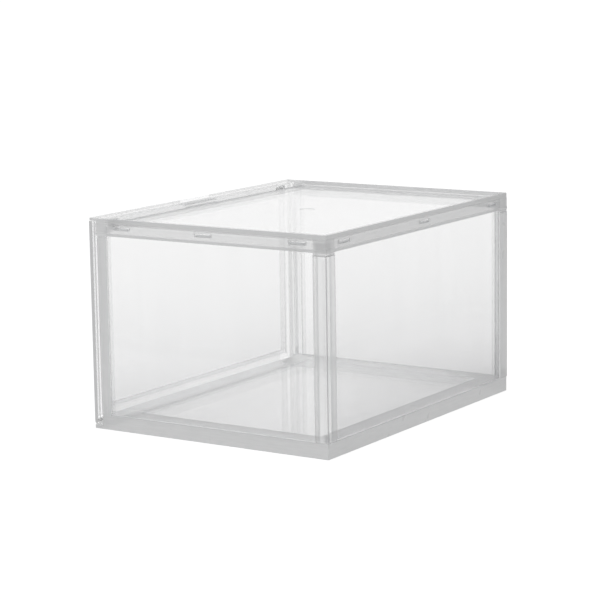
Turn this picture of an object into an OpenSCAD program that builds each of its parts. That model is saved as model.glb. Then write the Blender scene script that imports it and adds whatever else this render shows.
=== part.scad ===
// Drop-front stacking shoe box: clear sheets held between a base tray,
// four corner posts and a top frame, with a door that swings down at the front.
// +X is the width, +Y the depth (door at -Y), +Z up. Origin: centre of the
// underside. Millimetres.

/* [Box] */
// Overall width across the two short sides
box_w = 362; // [340:1:390]
// Overall depth from the door face to the back face
box_d = 279.4; // [260:0.2:310]
// Overall height
box_h = 215; // [180:1:240]
// Vertical corner rounding
corner_r = 1; // [0.8:0.1:1.6]

/* [Base] */
// Height of the base tray
base_h = 15.5; // [14:0.5:20]
// Wall thickness of the base tray
wall = 2.4; // [2:0.1:2.8]
// Width of the flat border round the floor sheet
border_w = 24.4; // [22:0.2:32]
// Thickness of the floor sheet
floor_t = 2.5; // [2:0.1:3]
// Thickness of the door sill
sill_h = 4; // [3:0.1:4]

/* [Posts and side sheets] */
// Post width along X
post_w = 16; // [15:0.5:20]
// Back post depth along Y
post_d = 15.2; // [14.8:0.2:20]
// Front post depth along Y
front_post_d = 12.6; // [12.6:0.1:16]
// Thickness of the post leg that holds a side sheet
side_leg = 7.2; // [6.8:0.1:8]
// Thickness of the back posts' other leg, along the back
back_leg = 7.5; // [7.2:0.1:8.5]
// Thickness of the front posts' other leg, behind the door
front_leg = 5; // [4.6:0.1:6]
// Thickness of the side and back sheets
sheet_t = 2; // [1.6:0.1:2.2]
// Depth of the slots in the posts that hold the sheets
slot_d = 3; // [2:0.5:4]

/* [Top frame] */
// Height of the raised rim above the top sheet
rim_h = 5; // [3:0.5:6]
// Width of the raised rim
rim_t = 3; // [2.4:0.1:4]
// Height of the skirt below the rim
skirt_h = 12.5; // [12.5:0.5:16]
// Depth of the flat deck over the door
deck_d = 24.1; // [22:0.1:30]
// Length of each snap window
window_l = 19; // [12:0.5:24]
// Height of each snap window
window_h = 3.4; // [3:0.1:3.6]

/* [Door] */
// Thickness of the door, front to back
door_t = 7.1; // [6.8:0.1:7.4]
// Width of the border at the sides of the door
door_side_w = 20; // [18:0.5:26]
// Width of the border at the top of the door
door_top_w = 15; // [14.5:0.5:20]
// Thickness of the door's front skin and flanges
door_skin = 2.2; // [1.8:0.1:2.4]
// Radius of the hinge pins
pin_r = 1.25; // [1:0.05:1.3]
// Running clearance of the hinge pins in the lugs, radial
pin_gap = 0.05; // [0.02:0.01:0.1]
// Radius of the catch magnets and keepers
magnet_r = 3.5; // [2.5:0.1:3.6]

/* [Hidden] */
$fn = 64;
e = 0.01;

hx = box_w / 2;                   // outer side faces of posts, skirt and door
hy = box_d / 2;                   // outer back face, and the door face at -hy
step = 0.5;                       // base and rim stand this far inside the posts
door_in = -hy + door_t;           // inner face of the door
front_y = door_in + 1.9;          // front faces of base, front posts
sheet_in = 2.8;                   // outer face of a sheet, measured from hx or hy
groove_w = sheet_t + 0.3;         // width of the slots that take the sheets
groove_in = sheet_in - 0.15;      // outer side of those slots
win_z = box_h - rim_h - 6;        // lower edge of the snap windows
skirt_z = box_h - rim_h - skirt_h;// lower edge of the skirt
sheet_top = win_z + 2.1;          // upper edge of the side sheets
ledge_top = box_h - rim_h - 2;    // seat of the 2 mm top sheet
ledge_t = 1.4;
rail_y = door_in + 0.6;           // front face of the rail behind the door
post_top = skirt_z - 0.2;         // shoulder of the posts under the skirt
reveal_z = post_top - 2.8;        // start of the shallow reveal below it
floor_x = hx - border_w;          // half width of the floor opening
floor_y1 = hy - border_w;         // back edge of the floor opening
floor_y0 = front_y + 30.2;        // front edge of the floor opening
side_windows = [-100, -1.5, 107];  // snap windows on the short sides, Y
back_windows = [-148, -5, 147];   // snap windows on the back, X
door_top = box_h - 3.3;           // top edge of the door
door_bot = sill_h + 0.3;          // bottom edge of the door
pane_z0 = door_bot + 17.7;        // visible opening of the door, bottom
pane_z1 = door_top - door_top_w;  // visible opening of the door, top
pane_x = hx - door_side_w;        // visible opening of the door, half width
hinge_z = door_bot + door_t / 2;  // hinge axis height
hinge_y = -hy + 2.7;              // hinge axis, 2.7 behind the door face
lug_x0 = hx - 13;                 // inner end of each hinge lug
lug_x1 = hx - 6;                  // outer end of each hinge lug
lug_r = 2.6;
pin_x0 = hx - 19;                 // inner end of each hinge pin
pin_x1 = hx - 0.6;                // outer end of each hinge pin
magnet_x = hx - 28;               // magnets and keepers, left and right
magnet_z = door_top - 6.1;
clear = [0.90, 0.93, 0.94, 0.35];
frost = [0.83, 0.86, 0.87, 0.75];
steel = [0.66, 0.67, 0.69];
nickel = [0.78, 0.78, 0.76];

// Rectangle from x0..x1, y0..y1 with rounded corners
module rrect(x0, x1, y0, y1, r) {
    translate([x0 + r, y0]) square([x1 - x0 - 2 * r, y1 - y0]);
    translate([x0, y0 + r]) square([x1 - x0, y1 - y0 - 2 * r]);
    for (x = [x0 + r, x1 - r], y = [y0 + r, y1 - r])
        translate([x, y]) circle(r);
}

// Block between two corners
module blk(a, b) {
    translate(a) cube(b - a);
}

// Outline of the base tray, moved in by g
module base_outline(g) {
    rrect(-hx + step + g, hx - step - g, front_y + g, hy - step - g,
          max(corner_r - g, 0.4));
}

// Outline of the floor opening, grown by g
module floor_opening(g) {
    rrect(-floor_x - g, floor_x + g, floor_y0 - g, floor_y1 + g, 3);
}

// Plan of the skirt and the front rail, with its outside moved in by g
module skirt(g) {
    difference() {
        union() {
            rrect(-hx + g, hx - g, rail_y, hy - g, corner_r - g);
            translate([-hx + g, rail_y]) square([2 * (hx - g), 4]);
        }
        rrect(-hx + 2.2, hx - 2.2, rail_y + 2.4, hy - 2.2, 0.6);
    }
}

// Round bar along X, centred on the hinge axis
module axle(r, x0, x1) {
    translate([x0, hinge_y, hinge_z]) rotate([0, 90, 0])
        cylinder(r = r, h = x1 - x0);
}

// Slots or tabs repeat on both sides
module both_sides() {
    children();
    mirror([1, 0, 0]) children();
}

// ---------- base ----------
module hinge_lug() {
    axle(lug_r, lug_x0, lug_x1);
    blk([lug_x0, hinge_y - lug_r, sill_h - 1],
        [lug_x1, hinge_y + lug_r, hinge_z]);
}

module base_frame() {
    color(frost) difference() {
        union() {
            // outer wall
            linear_extrude(base_h) difference() {
                base_outline(0);
                base_outline(wall);
            }
            // flat border round the floor
            translate([0, 0, base_h - floor_t]) linear_extrude(floor_t)
                difference() {
                    base_outline(0.2);
                    floor_opening(0);
                }
            // inner wall and the shelf that carries the floor sheet
            translate([0, 0, 1.5]) linear_extrude(base_h - floor_t - 1.5 + e)
                difference() {
                    floor_opening(2.2);
                    floor_opening(0);
                }
            translate([0, 0, base_h - floor_t - 2]) linear_extrude(2)
                difference() {
                    floor_opening(1);
                    floor_opening(-4);
                }
            // thicker strip below the slots of the sheets
            translate([0, 0, base_h - floor_t - 2]) linear_extrude(2 + e)
                difference() {
                    base_outline(wall - 0.2);
                    base_outline(6.6);
                }
            // pegs that locate the corner posts
            both_sides() {
                blk([hx - 5.3, hy - back_leg + 1.8, base_h - 1],
                    [hx - 2.1, hy - 1.8, base_h + 8]);
                blk([hx - 5.3, front_y + 1.5, base_h - 1],
                    [hx - 2.1, front_y + front_leg - 1.5, base_h + 8]);
            }
            // door sill
            difference() {
                blk([-hx + step, -hy, 0], [hx - step, front_y + 1, sill_h]);
                blk([-hx + step + wall, -hy + wall, -e],
                    [hx - step - wall, front_y - wall, sill_h - 2]);
            }
            both_sides() hinge_lug();
        }
        // running bores of the hinge pins
        both_sides() axle(pin_r + pin_gap, lug_x0 - 1, lug_x1 + 1);
        // slots for the side and back sheets
        both_sides()
            blk([hx - groove_in - groove_w,
                 front_y + front_post_d - slot_d, base_h - 2],
                [hx - groove_in, hy - post_d + slot_d, base_h + e]);
        blk([-hx + post_w - slot_d, hy - groove_in - groove_w, base_h - 2],
            [hx - post_w + slot_d, hy - groove_in, base_h + e]);
        // rebate along the front edge, between the front posts
        blk([-hx + post_w + 0.3, front_y - 1, base_h - 2.3],
            [hx - post_w - 0.3, front_y + 5, base_h + 1]);
    }
}

module floor_panel() {
    color(clear) translate([0, 0, base_h - floor_t]) linear_extrude(floor_t)
        floor_opening(-0.15);
}

// ---------- corner posts ----------
// L-shaped section with its outer corner at the origin, legs along +X and +Y
module post_section(w, d, leg, back) {
    difference() {
        union() {
            translate([corner_r, 0]) square([w - corner_r, leg]);
            translate([0, corner_r]) square([side_leg, d - corner_r]);
            translate([corner_r, corner_r]) circle(corner_r);
        }
        // slot for the side sheet
        translate([groove_in, d - slot_d]) square([groove_w, slot_d + e]);
        // slot for the back sheet
        if (back) translate([w - slot_d, groove_in])
            square([slot_d + e, groove_w]);
    }
}

module post(w, d, leg, back, neck_y) {
    difference() {
        translate([0, 0, base_h]) linear_extrude(sheet_top - base_h)
            post_section(w, d, leg, back);
        // core that takes the peg of the base
        blk([1.9, back ? 1.6 : 1.3, base_h - 1],
            [5.5, leg - (back ? 1.6 : 1.3), reveal_z - 4]);
        // shallow reveal under the skirt
        translate([0, 0, reveal_z]) linear_extrude(post_top - reveal_z)
            difference() {
                translate([-1, -1]) square([w + 1, d + 1]);
                translate([0.6, 0.6]) square([w, d]);
            }
        // the neck stands inside the sheets
        translate([0, 0, post_top]) linear_extrude(box_h)
            difference() {
                translate([-1, -1]) square([w + 2, d + 2]);
                translate([5.2, neck_y]) square([w, d]);
            }
    }
}

module back_right_post() {
    color(frost) translate([hx, hy, 0]) mirror([1, 0, 0]) mirror([0, 1, 0])
        post(post_w, post_d, back_leg, true, 5.2);
}

module back_left_post() {
    color(frost) translate([-hx, hy, 0]) mirror([0, 1, 0])
        post(post_w, post_d, back_leg, true, 5.2);
}

module front_right_post() {
    color(frost) translate([hx, front_y, 0]) mirror([1, 0, 0])
        post(post_w, front_post_d, front_leg, false, 6.2);
}

module front_left_post() {
    color(frost) translate([-hx, front_y, 0])
        post(post_w, front_post_d, front_leg, false, 6.2);
}

// ---------- clear sheets ----------
// Snap tab: a wedge on the outer face of a sheet, at the origin, facing +X
module snap_tab() {
    translate([0, window_l / 2 - 0.75, 0]) rotate([90, 0, 0])
        linear_extrude(window_l - 1.5)
            polygon([[-0.5, win_z + 0.2], [2, win_z + 0.2],
                     [2, win_z + 0.9], [0, sheet_top - 0.1],
                     [-0.5, sheet_top - 0.1]]);
}

module right_panel() {
    color(clear) {
        blk([hx - sheet_in - sheet_t, front_y + front_post_d - slot_d + 0.2,
             base_h - 1.8],
            [hx - sheet_in, hy - post_d + slot_d - 0.2, sheet_top]);
        for (y = side_windows) translate([hx - sheet_in, y, 0]) snap_tab();
    }
}

module left_panel() {
    color(clear) mirror([1, 0, 0]) {
        blk([hx - sheet_in - sheet_t, front_y + front_post_d - slot_d + 0.2,
             base_h - 1.8],
            [hx - sheet_in, hy - post_d + slot_d - 0.2, sheet_top]);
        for (y = side_windows) translate([hx - sheet_in, y, 0]) snap_tab();
    }
}

module back_panel() {
    color(clear) {
        blk([-hx + post_w - slot_d + 0.2, hy - sheet_in - sheet_t,
             base_h - 1.8],
            [hx - post_w + slot_d - 0.2, hy - sheet_in, sheet_top]);
        for (x = back_windows) translate([x, hy - sheet_in, 0])
            rotate([0, 0, 90]) snap_tab();
    }
}

// ---------- top ----------
module top_frame() {
    color(frost) difference() {
        union() {
            // raised rim on the back and the two sides, round the top sheet
            translate([0, 0, ledge_top]) linear_extrude(box_h - ledge_top)
                intersection() {
                    difference() {
                        rrect(-hx + step, hx - step, -hy, hy - step, corner_r);
                        rrect(-hx + step + rim_t, hx - step - rim_t,
                              -hy - 20, hy - step - rim_t, 1);
                    }
                    translate([-hx, rail_y + 1])
                        square([2 * hx, hy - rail_y]);
                }
            // flat deck over the door
            translate([0, 0, door_top + 0.5])
                linear_extrude(box_h - door_top - 0.5) intersection() {
                    rrect(-hx + step, hx - step, -hy, hy, corner_r);
                    translate([-hx, -hy]) square([2 * hx, deck_d]);
                }
            // wall between the deck and the recessed top sheet
            blk([-hx + 3, -hy + deck_d - 2.4, ledge_top - ledge_t],
                [hx - 3, -hy + deck_d, box_h - 1]);
            // seat of the top sheet
            translate([0, 0, ledge_top - ledge_t]) linear_extrude(ledge_t)
                difference() {
                    rrect(-hx + 2, hx - 2, -hy + deck_d - 1, hy - 2, 1);
                    rrect(-hx + 9, hx - 9, -hy + deck_d + 5, hy - 9, 2);
                }
            // skirt with a bead along its lower edge
            translate([0, 0, skirt_z]) linear_extrude(skirt_h) skirt(0.4);
            translate([0, 0, skirt_z]) linear_extrude(2.8) skirt(0);
            // the front rail goes on up to the deck
            blk([-hx + 1.5, rail_y, skirt_z + 4],
                [hx - 1.5, rail_y + 2.4, box_h - 1]);
            // bosses behind the keepers
            both_sides() translate([magnet_x, rail_y + 4, magnet_z])
                rotate([90, 0, 0]) cylinder(r = magnet_r + 1.5, h = 3);
        }
        // snap windows
        for (y = side_windows) {
            blk([hx - 2.5, y - window_l / 2, win_z],
                [hx + 1, y + window_l / 2, win_z + window_h]);
            blk([-hx - 1, y - window_l / 2, win_z],
                [-hx + 2.5, y + window_l / 2, win_z + window_h]);
        }
        for (x = back_windows)
            blk([x - window_l / 2, hy - 2.5, win_z],
                [x + window_l / 2, hy + 1, win_z + window_h]);
        // finger scoop in the front edge of the deck
        translate([0, -hy + 2 - 204, door_top]) cylinder(r = 204, h = 10, $fn = 360);
        // finger slot in the rail behind the door
        blk([-27, rail_y - 1, win_z], [27, rail_y + 3, win_z + window_h]);
        // pockets of the keepers
        both_sides() translate([magnet_x, rail_y + 2.2, magnet_z])
            rotate([90, 0, 0]) cylinder(r = magnet_r, h = 4);
    }
}

module top_panel() {
    color(clear) difference() {
        translate([0, 0, ledge_top]) linear_extrude(2)
            rrect(-hx + step + rim_t + 0.15, hx - step - rim_t - 0.15,
                  -hy + deck_d + 0.15, hy - step - rim_t - 0.15, 1.5);
        // shallow moulding gate mark in the middle
        translate([0, 3, ledge_top + 1.7]) cylinder(r = 8, h = 1);
    }
}

module keeper() {
    translate([magnet_x, rail_y + 2.2, magnet_z]) rotate([90, 0, 0])
        cylinder(r = magnet_r, h = 2.2);
}
module right_keeper() { color(steel) keeper(); }
module left_keeper() { color(steel) mirror([1, 0, 0]) keeper(); }

// ---------- door ----------
// Ring in the plane of the door, from y0 to y1, out to (xo, zo0, zo1)
module door_ring(y0, y1, xo, zo0, zo1, xi, zi0, zi1) {
    difference() {
        blk([-xo, y0, zo0], [xo, y1, zo1]);
        blk([-xi, y0 - 1, zi0], [xi, y1 + 1, zi1]);
    }
}

module door_frame() {
    color(frost) difference() {
        union() {
            // front skin of the border
            door_ring(-hy, -hy + door_skin, hx, hinge_z, door_top,
                      pane_x, pane_z0, pane_z1);
            // flanges round the outside
            door_ring(-hy, door_in, hx, hinge_z, door_top,
                      hx - door_skin, hinge_z - 1, door_top - door_skin);
            // seat of the pane and the wall round it
            door_ring(-hy + door_skin - e, -hy + 4.1, pane_x + 5, pane_z0 - 5,
                      pane_z1 + 5, pane_x, pane_z0, pane_z1);
            door_ring(-hy + door_skin - e, -hy + 6.1, pane_x + 5, pane_z0 - 5,
                      pane_z1 + 5, pane_x + 3, pane_z0 - 3, pane_z1 + 3);
            // full-round lower edge
            translate([-hx, -hy + door_t / 2, hinge_z]) rotate([0, 90, 0])
                cylinder(r = door_t / 2, h = 2 * hx);
            // solid ends that hold the hinge pins
            both_sides()
                blk([hx - 21, -hy, hinge_z], [hx, door_in, hinge_z + 4.6]);
            // bosses of the catch magnets
            both_sides() translate([magnet_x, door_in - 0.1, magnet_z])
                rotate([90, 0, 0]) cylinder(r = magnet_r + 1.2, h = 5);
        }
        // openings for the hinge lugs
        both_sides()
            blk([lug_x0 - 0.4, -hy - 1, door_bot - 1],
                [lug_x1 + 0.4, door_in + 1, hinge_z + 3.4]);
        // bores of the hinge pins
        both_sides() axle(pin_r, pin_x0, hx + 1);
        // pockets of the catch magnets
        both_sides() translate([magnet_x, door_in, magnet_z])
            rotate([90, 0, 0]) cylinder(r = magnet_r, h = 3.1);
    }
}

module door_pane() {
    color(clear) blk([-pane_x - 2.9, -hy + 4.1, pane_z0 - 2.9],
                     [pane_x + 2.9, -hy + 6.1, pane_z1 + 2.9]);
}

module right_hinge_pin() { color(steel) axle(pin_r, pin_x0, pin_x1); }
module left_hinge_pin() {
    color(steel) mirror([1, 0, 0]) axle(pin_r, pin_x0, pin_x1);
}

module door_magnet() {
    translate([magnet_x, door_in - 0.1, magnet_z]) rotate([90, 0, 0])
        cylinder(r = magnet_r, h = 3);
}
module right_door_magnet() { color(nickel) door_magnet(); }
module left_door_magnet() { color(nickel) mirror([1, 0, 0]) door_magnet(); }

base_frame();
floor_panel();
back_left_post();
back_right_post();
front_left_post();
front_right_post();
left_panel();
right_panel();
back_panel();
top_frame();
top_panel();
door_frame();
door_pane();
left_hinge_pin();
right_hinge_pin();
left_door_magnet();
right_door_magnet();
left_keeper();
right_keeper();
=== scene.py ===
import math

import bpy
from mathutils import Matrix, Vector


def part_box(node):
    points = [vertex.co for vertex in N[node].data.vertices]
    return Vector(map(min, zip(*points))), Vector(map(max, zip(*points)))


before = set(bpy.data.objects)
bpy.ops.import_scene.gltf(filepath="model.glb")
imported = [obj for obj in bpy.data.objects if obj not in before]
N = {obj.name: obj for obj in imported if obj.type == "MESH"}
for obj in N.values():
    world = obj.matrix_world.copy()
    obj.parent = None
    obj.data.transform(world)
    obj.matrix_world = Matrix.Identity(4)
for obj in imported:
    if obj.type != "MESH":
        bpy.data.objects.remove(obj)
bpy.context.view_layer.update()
scene = bpy.context.scene

# ---------------------------------------------------------------- camera
az, el, roll = (math.radians(v) for v in (123.0652, 9.7728, -0.8916))
back = Vector((math.sin(az) * math.cos(el), -math.cos(az) * math.cos(el), math.sin(el)))
right = (-back).cross(Vector((0, 0, 1))).normalized()
up = right.cross(-back)
cr = math.cos(roll) * right + math.sin(roll) * up
cu = -math.sin(roll) * right + math.cos(roll) * up
cam_data = bpy.data.cameras.new("photo_camera")
cam_data.sensor_width = 36.0
cam_data.lens = 133.04
cam_data.clip_start, cam_data.clip_end = 0.05, 60
cam = bpy.data.objects.new("photo_camera", cam_data)
scene.collection.objects.link(cam)
cam.matrix_world = Matrix((
    (cr.x, cu.x, back.x, 1.90399),
    (cr.y, cu.y, back.y, 1.23172),
    (cr.z, cu.z, back.z, 0.50588),
    (0, 0, 0, 1)))
scene.camera = cam


# ---------------------------------------------------------------- node helpers
class Tree:
    """A short way to build a node tree: t.node(type, settings, inputs) returns the node."""

    def __init__(self, name):
        self.mat = bpy.data.materials.new(name)
        self.mat.use_nodes = True
        self.nt = self.mat.node_tree
        self.nt.nodes.clear()
        self.out = self.nt.nodes.new("ShaderNodeOutputMaterial")
        self.x = -200

    def put(self, socket, value):
        if isinstance(value, bpy.types.NodeSocket):
            self.nt.links.new(value, socket)
        elif isinstance(value, tuple) and len(value) == 3 and socket.type == "RGBA":
            socket.default_value = (*value, 1.0)
        else:
            socket.default_value = value

    def node(self, kind, settings=None, **inputs):
        n = self.nt.nodes.new("ShaderNode" + kind)
        n.location.x = self.x
        self.x -= 30
        for key, value in (settings or {}).items():
            setattr(n, key, value)
        for key, value in inputs.items():
            if key[0] == "i" and key[1:].isdigit():
                self.put(n.inputs[int(key[1:])], value)
            else:
                self.put(n.inputs[key.replace("_", " ")], value)
        return n

    def math(self, op, a, b=0.0, clamp=False):
        return self.node("Math", {"operation": op, "use_clamp": clamp}, i0=a, i1=b).outputs[0]

    def noise(self, vector, scale, detail=2.0, rough=0.5):
        return self.node("TexNoise", None, Vector=vector, Scale=scale, Detail=detail,
                         Roughness=rough).outputs["Fac"]

    def stretched(self, vector, by):
        return self.node("Mapping", None, Vector=vector, Scale=by).outputs[0]

    def span(self, value, lo, hi, to_lo, to_hi, smooth=False):
        return self.node("MapRange", {"interpolation_type": "SMOOTHSTEP" if smooth else "LINEAR"},
                         Value=value, From_Min=lo, From_Max=hi, To_Min=to_lo, To_Max=to_hi).outputs[0]

    def ramp(self, value, stops):
        n = self.node("ValToRGB", None, Fac=value)
        e = n.color_ramp.elements
        e[0].position, e[0].color = stops[0][0], (*stops[0][1], 1)
        e[1].position, e[1].color = stops[-1][0], (*stops[-1][1], 1)
        for pos, colour in stops[1:-1]:
            el_ = e.new(pos)
            el_.color = (*colour, 1)
        return n.outputs["Color"]

    def schlick(self, head_on):
        facing = self.node("LayerWeight", None, Blend=0.5).outputs["Facing"]
        return self.math("ADD", self.math("MULTIPLY", self.math("POWER", facing, 5.0), 1.0 - head_on),
                         head_on)

    def mix(self, fac, a, b):
        return self.node("MixShader", None, i0=fac, i1=a, i2=b).outputs[0]

    def done(self, shader):
        self.nt.links.new(shader, self.out.inputs["Surface"])
        return self.mat


def milky(name, inner, zones, grey, grain=(1.0, 1.0, 1.0), rough=0.32):
    """Translucent moulded plastic: a milky body that lets part of what is behind it through.

    zones is a list of (density, any of these tests, and all of these): where they hold the wall is
    that dense, later zones over earlier ones; elsewhere it is inner. A test is (axis, sign, at), with
    X the distance from the middle and nz how much the surface faces up or down; a fourth number is
    how far either side of the place the change is spread.
    """
    t = Tree(name)
    tc = t.node("TexCoord")
    co = tc.outputs["Object"]
    xyz = t.node("SeparateXYZ", None, Vector=co)
    nrm = t.node("SeparateXYZ", None, Vector=tc.outputs["Normal"])
    coords = {"X": t.math("ABSOLUTE", xyz.outputs[0]), "x": xyz.outputs[0], "y": xyz.outputs[1],
              "z": xyz.outputs[2], "nz": t.math("ABSOLUTE", nrm.outputs[2])}

    def beyond(axis, sign, at, e=None):
        e = e or (0.1 if axis == "nz" else 0.00005)
        return t.span(coords[axis], at - e, at + e, 0.0 if sign > 0 else 1.0, 1.0 if sign > 0 else 0.0)

    dens = inner
    for value, tests, also in zones:
        mask = None if tests else 1.0
        for test in tests:
            m = beyond(*test)
            mask = m if mask is None else t.math("MAXIMUM", mask, m)
        for test in also:
            mask = t.math("MULTIPLY", mask, beyond(*test))
        n = t.node("Mix")
        t.put(n.inputs["Factor"], mask)
        t.put(n.inputs["A"], dens)
        t.put(n.inputs["B"], value)
        dens = n.outputs["Result"]
    cloud = t.noise(co, 14.0, 3.0)
    flow = t.noise(t.stretched(co, grain), 160.0, 2.0)
    fine = t.noise(co, 1400.0, 1.0)
    body = t.math("ADD", t.math("MULTIPLY", cloud, 0.75), t.math("MULTIPLY", flow, 0.25))
    c0 = tuple(v * 0.95 for v in grey)
    c1 = tuple(min(v * 1.05, 1) for v in grey)
    colour = t.ramp(body, [(0.3, c0), (0.7, c1)])
    dens = t.math("MULTIPLY", dens, t.span(body, 0.3, 0.7, 0.95, 1.05), True)
    r = t.span(t.noise(co, 60.0, 3.0), 0.3, 0.7, rough - 0.05, rough + 0.07)
    height = t.math("ADD", t.math("MULTIPLY", fine, 0.35), t.math("MULTIPLY", flow, 0.65))
    bump = t.node("Bump", None, Strength=0.10, Distance=0.0002, Height=height).outputs[0]
    p = t.node("BsdfPrincipled", None, Base_Color=colour, Roughness=r, Alpha=dens, Normal=bump)
    p.inputs["IOR"].default_value = 1.49
    p.inputs["Specular IOR Level"].default_value = 0.5
    return t.done(p.outputs[0])


def sheet(name, edge_axis, haze=0.02, low_shade=0.20, cut=0.25):
    """Clear sheet: see-through, glossy, with painted shade that darkens it low down and painted shade on
    its cut edges.
    """
    t = Tree(name)
    tc = t.node("TexCoord")
    co = tc.outputs["Object"]
    z = t.node("SeparateXYZ", None, Vector=co).outputs[2]
    # painted shade: the sheet is tinted darker towards the bottom, fading out with height
    k = t.math("MULTIPLY", t.math("POWER", 2.71828, t.math("DIVIDE", z, -0.070)), low_shade)
    patch = t.noise(co, 5.5, 2.0)
    k = t.math("MULTIPLY", k, t.span(patch, 0.3, 0.7, 0.9, 1.1))
    half = t.math("MULTIPLY", k, 0.5)
    shade_tint = t.node("CombineColor", None,
                  Red=t.math("SUBTRACT", 1.0, half),
                  Green=t.math("SUBTRACT", 1.0, half),
                  Blue=t.math("SUBTRACT", 1.0, t.math("MULTIPLY", half, 0.98))).outputs[0]
    clear = t.node("BsdfTransparent", None, Color=shade_tint).outputs[0]
    wipe = t.noise(t.stretched(co, (1.0, 1.0, 0.12)), 45.0, 4.0, 0.6)
    hz = t.math("MULTIPLY", t.span(wipe, 0.35, 0.75, 0.75, 1.25), haze)
    film = t.node("BsdfDiffuse", None, Color=(0.80, 0.81, 0.82), Roughness=0.3).outputs[0]
    body = t.mix(hz, clear, film)
    # painted shade: the cut edges of the sheet are drawn in a darker grey
    nrm = t.node("SeparateXYZ", None, Vector=tc.outputs["Normal"]).outputs[edge_axis]
    flat = t.math("ABSOLUTE", nrm)
    edge = t.span(flat, 0.5, 0.8, 1.0, 0.0)
    edge_shade_grey = t.node("BsdfDiffuse", None, Color=(0.50, 0.51, 0.52), Roughness=0.2).outputs[0]
    body = t.mix(t.math("MULTIPLY", edge, cut), body, edge_shade_grey)
    # snap tabs, moulded with a fine grain
    xyz = t.node("SeparateXYZ", None, Vector=co)
    proud = t.math("MAXIMUM", t.span(t.math("ABSOLUTE", xyz.outputs[0]), 0.1783, 0.1785, 0, 1),
                   t.span(xyz.outputs[1], 0.1370, 0.1372, 0, 1))
    grain = t.span(t.noise(co, 900.0, 2.0), 0.3, 0.7, 0.60, 0.74)
    body = t.mix(t.math("MULTIPLY", proud, grain), body, film)
    fr = t.schlick(0.04)
    g = t.node("BsdfGlossy", None, Color=(1.0, 1.0, 1.0),
               Roughness=t.span(t.noise(co, 30.0, 2.0), 0.3, 0.7, 0.02, 0.06)).outputs[0]
    return t.done(t.mix(fr, body, g))


def metal(name, colour, rough, line_scale, bare=1.0):
    t = Tree(name)
    co = t.node("TexCoord").outputs["Object"]
    brushed = t.noise(t.stretched(co, line_scale), 900.0, 2.0)
    c = t.ramp(brushed, [(0.3, tuple(v * 0.86 for v in colour)), (0.7, colour)])
    r = t.span(brushed, 0.3, 0.7, rough, rough + 0.14)
    bump = t.node("Bump", None, Strength=0.15, Distance=0.0001, Height=brushed).outputs[0]
    p = t.node("BsdfPrincipled", None, Base_Color=c, Roughness=r, Normal=bump)
    p.inputs["Metallic"].default_value = bare
    return t.done(p.outputs[0])


# ---------------------------------------------------------------- finishes
WHITE = (0.92, 0.925, 0.93)
skin = [("X", 1, 0.1801), ("y", 1, 0.1388)]
corner = [("X", 1, 0.1655), ("y", 1, 0.1250)]
# the frosted lips round the snap windows
window_z = [("z", 1, 0.2034), ("z", -1, 0.2080)]
window_edges = [(k, [], window_z + [("X", 1, 0.1785), ("y", 1, y - 0.0101), ("y", -1, y + 0.0101)])
                for k, y in ((0.44, -0.100), (0.66, -0.0015), (0.66, 0.107))]
window_edges += [(0.78, [], window_z + [("y", 1, 0.1370), ("x", 1, x - 0.0101), ("x", -1, x + 0.0101)])
                 for x in (-0.148, -0.005, 0.147)]
finish = {
    "base_frame": milky("base_milky", 0.05, [
        (0.36, [("z", 1, 0.0152)], []),
        # painted shade: the tops of the near bars (+X, +Y) are made denser, so they read darker than the
        # far border
        (0.78, [("x", 1, 0.1500), ("y", 1, 0.1120)],
         [("z", 1, 0.0152), ("x", 1, -0.1500), ("y", 1, -0.1080, 0.018)]),
        (0.78, [("y", 1, 0.0920, 0.022)], [("z", 1, 0.0152), ("x", -1, -0.1500)]),
        (0.85, skin, [("z", -1, 0.0158)]),
        # painted light: the far skins (-X, -Y) are made thinner than the near ones, so they read lighter
        (0.50, [("x", -1, -0.1801), ("y", -1, -0.1305)], [("z", -1, 0.0152), ("x", -1, 0.1795)])], WHITE, (0.3, 0.3, 3.0)),
    "top_frame": milky("top_milky", 0.06, [
        (0.24, [("z", 1, 0.2146)], []),
        (0.60, [("y", 1, -0.1185)], [("y", -1, -0.1150), ("z", -1, 0.2103), ("z", 1, 0.2081)]),
        (0.42, [("X", 1, 0.1801), ("y", -1, -0.1394)], [("z", -1, 0.2146)]),
        (0.62, [("y", 1, 0.1388)], [("z", -1, 0.2146)]),
        (0.85, skin, [("z", 1, 0.2102), ("z", -1, 0.2146)]),
        (0.80, skin, [("z", -1, 0.2004)]),
        (0.82, skin, corner + [("z", -1, 0.2102)]),
        (0.75, [("X", 1, 0.1801)], [("y", -1, -0.1181), ("z", -1, 0.2146)]),
        (0.60, [], [("X", -1, 0.0290), ("y", -1, -0.1290), ("y", 1, -0.1325),
                    ("z", 1, 0.2030), ("z", -1, 0.2082)]),
        (0.75, [], [("X", 1, 0.1465), ("X", -1, 0.1595), ("y", 1, -0.1312), ("y", -1, -0.1240),
                    ("z", 1, 0.1995), ("z", -1, 0.2112)]),
        ] + window_edges, WHITE, (0.3, 0.3, 3.0)),
    "door_frame": milky("door_milky", 0.03, [
        (0.34, [("y", -1, -0.1394)], []),
        # painted light: the front face at the far (-X) end is made thinner, so it reads lighter
        (0.20, [], [("x", -1, -0.1590), ("y", -1, -0.1394)]),
        (0.14, [("X", 1, 0.1806)], []),
        (0.30, [("z", 1, 0.2113)], []),
        (0.55, [], [("X", -1, 0.0290), ("z", 1, 0.2093)]),
        (0.40, [("X", 1, 0.1806)], [("y", 1, -0.1337)]),
        (0.45, [("X", 1, 0.1806)], [("y", -1, -0.1357)]),
        # painted shade: the near (+X) side is made about twice as dense as the -X side, so it reads
        # darker
        (0.80, [("x", 1, 0.1806)], [("y", 1, -0.1337)]),
        (0.95, [("x", 1, 0.1806)], [("y", -1, -0.1357)])], WHITE, (1.0, 1.0, 1.0)),
}


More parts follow.
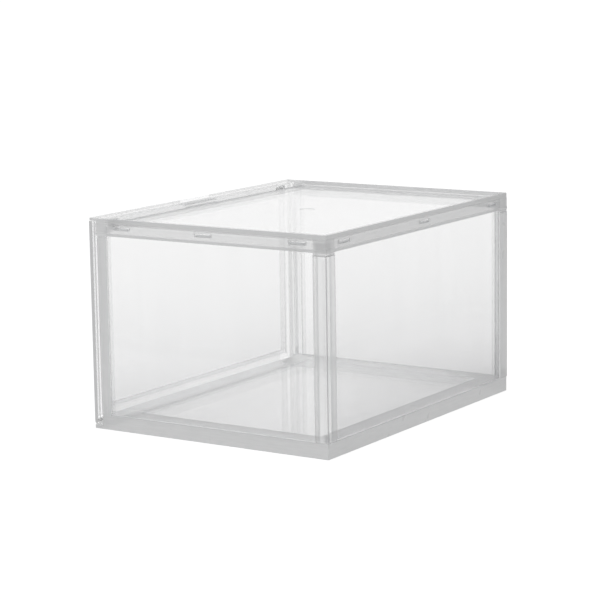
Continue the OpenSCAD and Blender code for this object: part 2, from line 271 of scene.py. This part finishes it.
def back_post(name, face, leg, lip):
    return milky(name, 0.07, [
        (face, [("X", 1, 0.1801), ("y", 1, 0.1388)], []),
        (0.26 * leg, [("y", -1, 0.1248)], []),
        (0.75 * leg, [("X", 1, 0.1807)], [("y", -1, 0.1253)]),
        (lip, [("X", -1, 0.1658)], [("y", 1, 0.1388)]),
        (0.92, [("X", 1, 0.1802)], [("y", 1, 0.1389)]),
        (0.66, [("X", 1, 0.1795), ("y", 1, 0.1382)], [("z", 1, 0.1944)]),
        # painted shadow: a thin dense band round the outer faces at the bead, where the shallow reveal
        # lies in shade
        (0.95, [("X", 1, 0.1795), ("y", 1, 0.1382)], [("z", 1, 0.1942), ("z", -1, 0.1953)]),
        (0.55, [("z", 1, 0.1974)], [])], WHITE, (3.0, 3.0, 0.12))


def front_post(name, face, edge, end, end_y, leg):
    return milky(name, 0.05, [
        (leg, [], [("y", -1, -0.1252), ("X", -1, 0.1795)]),
        (edge - 0.15, [("y", -1, -0.1304)], [("X", 1, 0.1795)]),
        (face, [("X", 1, 0.1801)], []),
        (edge, [("X", 1, 0.1801)], [("y", -1, -0.1295)]),
        (end, [("X", 1, 0.1801)], [("y", 1, end_y)]),
        (0.30, [("z", 1, 0.1974)], [])], WHITE, (3.0, 3.0, 0.12))


# the four posts are one plastic; their different densities are painted light and shade, making each post
# read lighter or darker
finish["back_left_post"] = back_post("back_left_milky_shaded", 0.64, 0.6, 0.62)
finish["back_right_post"] = back_post("back_right_milky_shaded", 0.34, 1.0, 0.45)
finish["front_left_post"] = front_post("front_left_milky_shaded", 0.34, 0.45, 0.12, -0.1245, 0.16)
finish["front_right_post"] = front_post("front_right_milky_shaded", 0.78, 0.95, 0.22, -0.1189, 0.05)
# one clear plastic for all sheets; the amounts of painted shade low down and on the cut edges differ from
# sheet to sheet
finish["left_panel"] = finish["right_panel"] = sheet("side_sheet", 0)
finish["back_panel"] = sheet("back_sheet", 1, 0.02, 0.34)
finish["door_pane"] = sheet("door_sheet", 1, 0.02, 0.20, 0.08)
finish["top_panel"] = sheet("top_sheet", 2, 0.03, 0.6)
finish["floor_panel"] = sheet("floor_sheet", 2, 0.05, 0.12)
steel = metal("pin_steel_turned", (0.86, 0.86, 0.85), 0.38, (8.0, 0.4, 0.4), 0.6)
nickel = metal("nickel_plate", (0.93, 0.925, 0.91), 0.45, (0.6, 4.0, 0.6), 0.35)
zinc = metal("keeper_zinc", (0.92, 0.925, 0.93), 0.45, (3.0, 3.0, 0.4), 0.35)
finish["left_hinge_pin"] = finish["right_hinge_pin"] = steel
finish["left_door_magnet"] = finish["right_door_magnet"] = nickel
finish["left_keeper"] = finish["right_keeper"] = zinc

# ---------------------------------------------------------------- softened edges
def finish_group(name, lo, hi):
    """Keeps a piece inside its own CAD box, shades its flats flat and its curves smooth."""
    g = bpy.data.node_groups.new("edges_" + name, "GeometryNodeTree")
    g.interface.new_socket("Geometry", in_out="INPUT", socket_type="NodeSocketGeometry")
    g.interface.new_socket("Geometry", in_out="OUTPUT", socket_type="NodeSocketGeometry")
    gi, go = g.nodes.new("NodeGroupInput"), g.nodes.new("NodeGroupOutput")
    clean = g.nodes.new("GeometryNodeSetMeshNormal")
    clean.inputs["Remove Custom"].default_value = True
    pos = g.nodes.new("GeometryNodeInputPosition")
    low, high = g.nodes.new("ShaderNodeVectorMath"), g.nodes.new("ShaderNodeVectorMath")
    low.operation, high.operation = "MAXIMUM", "MINIMUM"
    low.inputs[1].default_value, high.inputs[1].default_value = lo, hi
    move = g.nodes.new("GeometryNodeSetPosition")
    smooth = g.nodes.new("GeometryNodeSetShadeSmooth")
    smooth.domain = "FACE"
    smooth.inputs["Shade Smooth"].default_value = True
    sharp = g.nodes.new("GeometryNodeSetShadeSmooth")
    sharp.domain = "EDGE"
    sharp.inputs["Shade Smooth"].default_value = False
    angle = g.nodes.new("GeometryNodeInputMeshEdgeAngle")
    over = g.nodes.new("FunctionNodeCompare")
    over.data_type, over.operation = "FLOAT", "GREATER_THAN"
    over.inputs[1].default_value = 0.38
    for x, y in ((gi.outputs[0], clean.inputs[0]), (clean.outputs[0], move.inputs["Geometry"]),
                 (pos.outputs[0], low.inputs[0]), (low.outputs[0], high.inputs[0]),
                 (high.outputs[0], move.inputs["Position"]), (move.outputs[0], smooth.inputs["Geometry"]),
                 (smooth.outputs[0], sharp.inputs["Geometry"]),
                 (angle.outputs["Unsigned Angle"], over.inputs[0]),
                 (over.outputs[0], sharp.inputs["Selection"]), (sharp.outputs[0], go.inputs[0])):
        g.links.new(x, y)
    return g


for n, o in N.items():
    o.data.materials.clear()
    o.data.materials.append(finish[n])
    w = o.modifiers.new("weld", "WELD")
    w.merge_threshold = 2e-6
    b = o.modifiers.new("edges", "BEVEL")
    b.width = 0.00022
    b.segments = 2
    b.limit_method = "ANGLE"
    b.angle_limit = 0.9
    b.loop_slide = False
    b.use_clamp_overlap = False
    f = o.modifiers.new("finish", "NODES")
    f.node_group = finish_group(n, *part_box(n))

# ---------------------------------------------------------------- stage and light
me = bpy.data.meshes.new("floor")
s = 12
me.from_pydata([(-s, -s, 0), (s, -s, 0), (s, s, 0), (-s, s, 0)], [], [(0, 1, 2, 3)])
floor = bpy.data.objects.new("floor", me)
floor.location.z = -0.0004
scene.collection.objects.link(floor)
t = Tree("floor_pale")
lp = t.node("LightPath")
seen = lp.outputs["Is Camera Ray"]
# lit from below inside the footprint, like the middle of a light table
xyz = t.node("SeparateXYZ", None, Vector=t.node("TexCoord").outputs["Object"])
under = t.math("MULTIPLY", t.span(t.math("ABSOLUTE", xyz.outputs[0]), 0.160, 0.178, 1, 0),
               t.span(t.math("ABSOLUTE", xyz.outputs[1]), 0.115, 0.136, 1, 0))
glow = t.span(under, 0, 1, 0.38, 1.3)
em = t.node("Emission", None, Color=(1.0, 1.0, 1.0), Strength=t.span(seen, 0, 1, glow, 0.93)).outputs[0]
df = t.node("BsdfDiffuse", None, Color=(0.22, 0.22, 0.22)).outputs[0]
me.materials.append(t.done(t.node("AddShader", None, i0=em, i1=df).outputs[0]))

w = bpy.data.worlds.new("studio")
scene.world = w
w.use_nodes = True
nt = w.node_tree
nt.nodes.clear()
wo = nt.nodes.new("ShaderNodeOutputWorld")
bgd = nt.nodes.new("ShaderNodeBackground")
lp = nt.nodes.new("ShaderNodeLightPath")
# white sweep behind the box, dimmer room on the near side, for everything but the plain view of it
tc = nt.nodes.new("ShaderNodeTexCoord")
dot = nt.nodes.new("ShaderNodeVectorMath")
dot.operation = "DOT_PRODUCT"
dot.inputs[1].default_value = (-0.3, -0.954, 0.0)
nt.links.new(tc.outputs["Generated"], dot.inputs[0])
sweep = []
for far in (0.80, 1.0):      # what lights the surfaces, and what they mirror
    mr = nt.nodes.new("ShaderNodeMapRange")
    mr.interpolation_type = "SMOOTHSTEP"
    for key, value in (("From Min", -0.5), ("From Max", 0.7), ("To Min", 0.385), ("To Max", far)):
        mr.inputs[key].default_value = value
    nt.links.new(dot.outputs["Value"], mr.inputs["Value"])
    sweep.append(mr.outputs[0])
room = nt.nodes.new("ShaderNodeMix")
nt.links.new(lp.outputs["Is Glossy Ray"], room.inputs["Factor"])
nt.links.new(sweep[0], room.inputs["A"])
nt.links.new(sweep[1], room.inputs["B"])
pick = nt.nodes.new("ShaderNodeMix")
nt.links.new(lp.outputs["Is Camera Ray"], pick.inputs["Factor"])
nt.links.new(room.outputs["Result"], pick.inputs["A"])
pick.inputs["B"].default_value = 1.1
nt.links.new(pick.outputs["Result"], bgd.inputs["Strength"])
bgd.inputs["Color"].default_value = (1, 1, 1, 1)
nt.links.new(bgd.outputs[0], wo.inputs["Surface"])


def softbox(name, at, size, power):
    ld = bpy.data.lights.new(name, "AREA")
    ld.shape = "RECTANGLE"
    ld.size, ld.size_y = size
    ld.energy = power
    ob = bpy.data.objects.new(name, ld)
    scene.collection.objects.link(ob)
    ob.location = at
    ob.rotation_euler = (Vector((0, 0, 0.1)) - Vector(at)).to_track_quat("-Z", "Y").to_euler()
    return ob


softbox("key_top", (-0.3, -0.2, 2.2), (1.6, 1.6), 4)

scene.view_settings.view_transform = "Standard"
scene.cycles.transparent_max_bounces = 64
scene.cycles.max_bounces = 16
